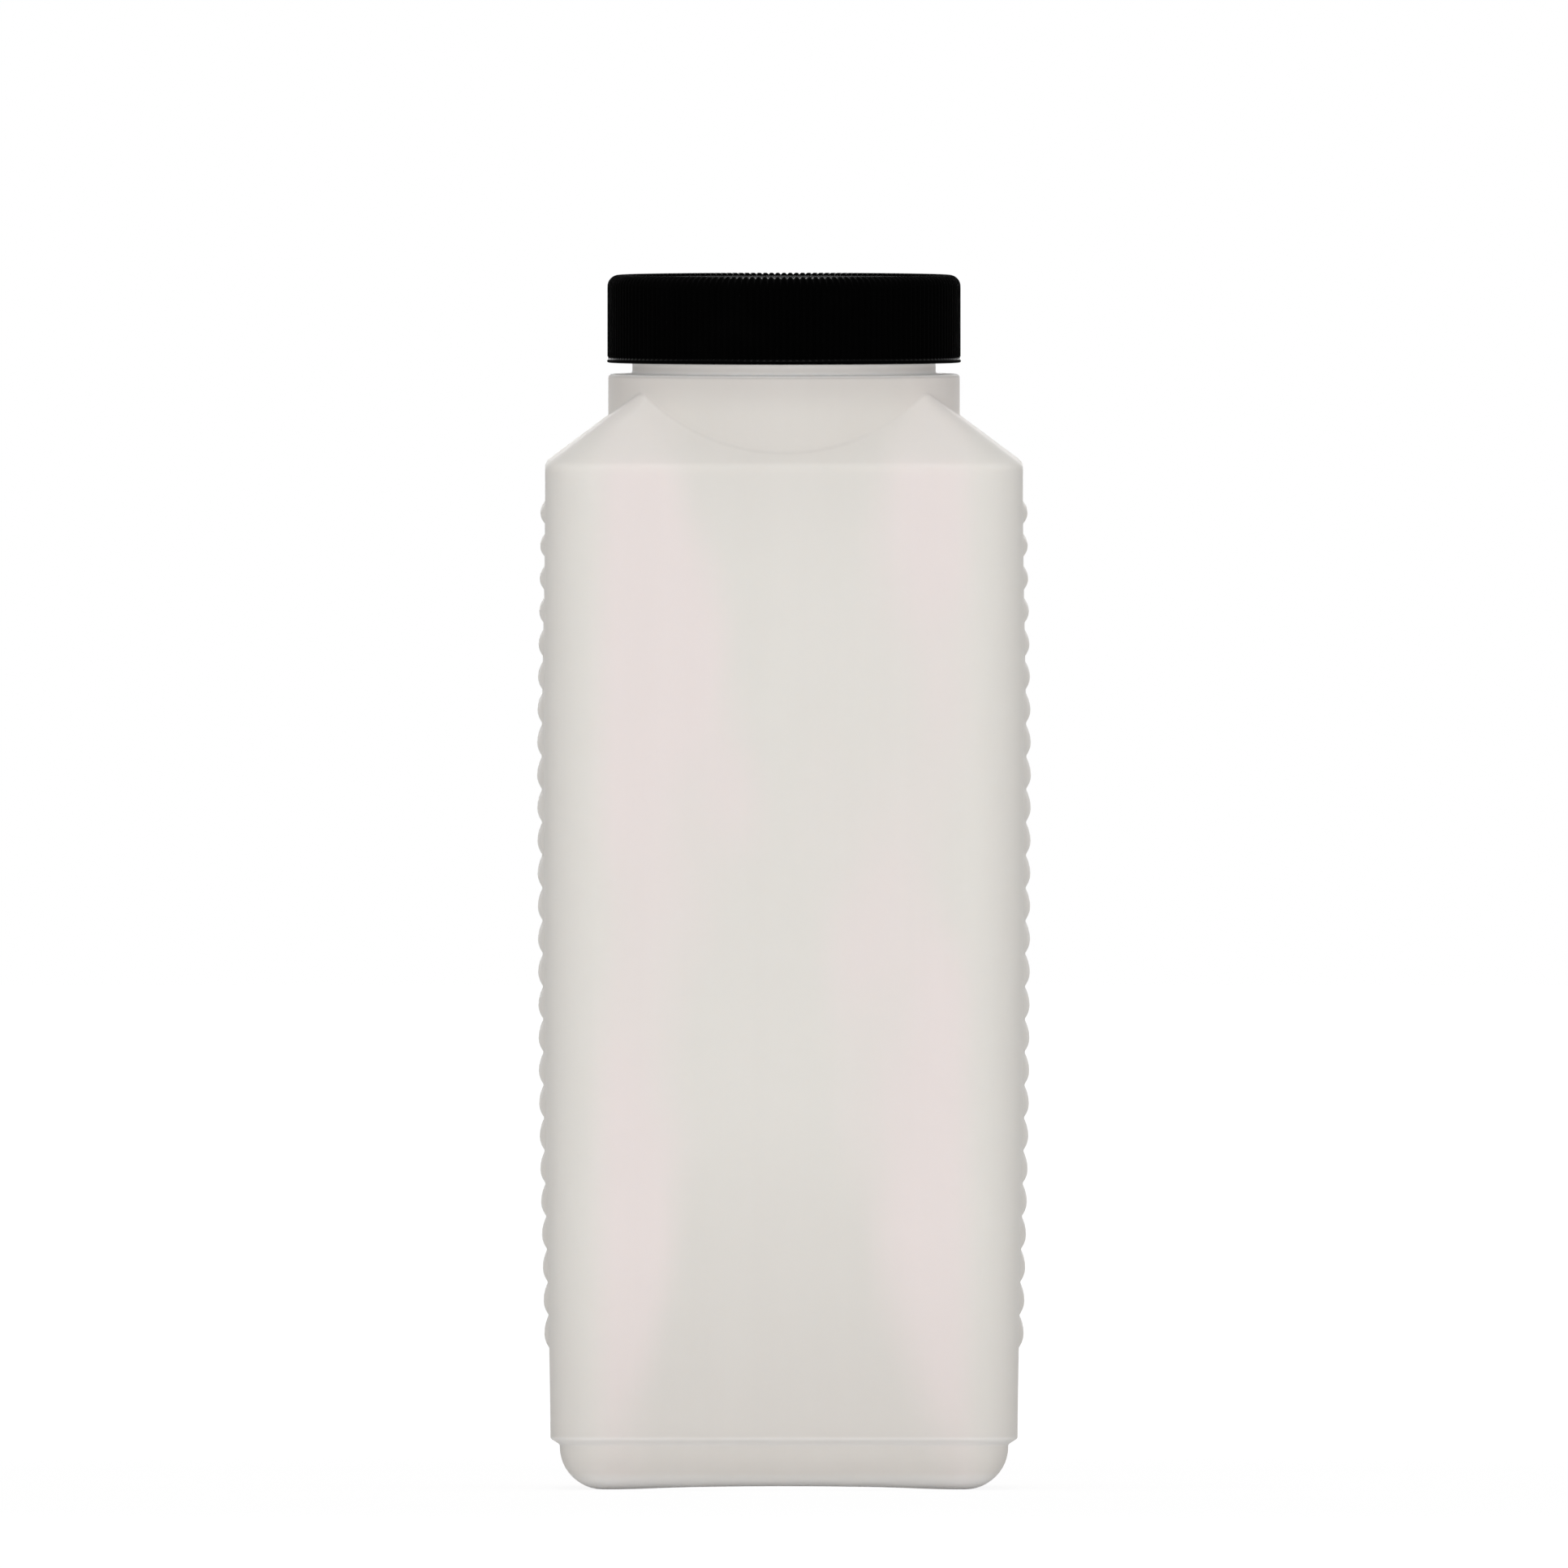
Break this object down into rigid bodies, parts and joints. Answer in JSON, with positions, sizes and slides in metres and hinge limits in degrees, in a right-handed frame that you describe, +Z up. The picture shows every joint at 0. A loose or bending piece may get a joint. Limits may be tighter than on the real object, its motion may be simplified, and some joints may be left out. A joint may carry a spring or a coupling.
{
  "type": "rectangular wide-mouth laboratory bottle",
  "caption": "Tall rectangular wide-mouth bottle with rounded corners, ribbed narrow sides, a hipped shoulder, a round collar and a finely ribbed screw cap.",
  "frame": {"origin": "on the ground under the middle of the bottle, on the axis of its neck", "axes": "+Z up along the bottle, +X towards a ribbed narrow side, -Y out of a broad face"},
  "size_m": [0.0902, 0.0712, 0.2215],
  "materials": {
    "natural_polyethylene": "satin, milky white",
    "black_polypropylene": "satin black",
    "foamed_liner": "smooth white foam"
  },
  "bodies": {
    "bottle": {"bottle": "natural_polyethylene"},
    "liner": {"cap_liner": "foamed_liner"},
    "cap": {"screw_cap": "black_polypropylene"}
  },
  "joints": [
    {"name": "cap_lift", "type": "slide", "parent": "bottle", "child": "liner", "axis": [0, 0, 1], "range_m": [0, 0.0169]},
    {"name": "cap_turn", "type": "hinge", "parent": "liner", "child": "cap", "pos_m": [0, 0, 0.2134], "axis": [0, 0, 1], "range_deg": [0, 1440]}
  ],
  "couplings": [
    {"joint": "cap_lift", "follows": "cap_turn", "m_per_rad": 0.00066845}
  ]
}
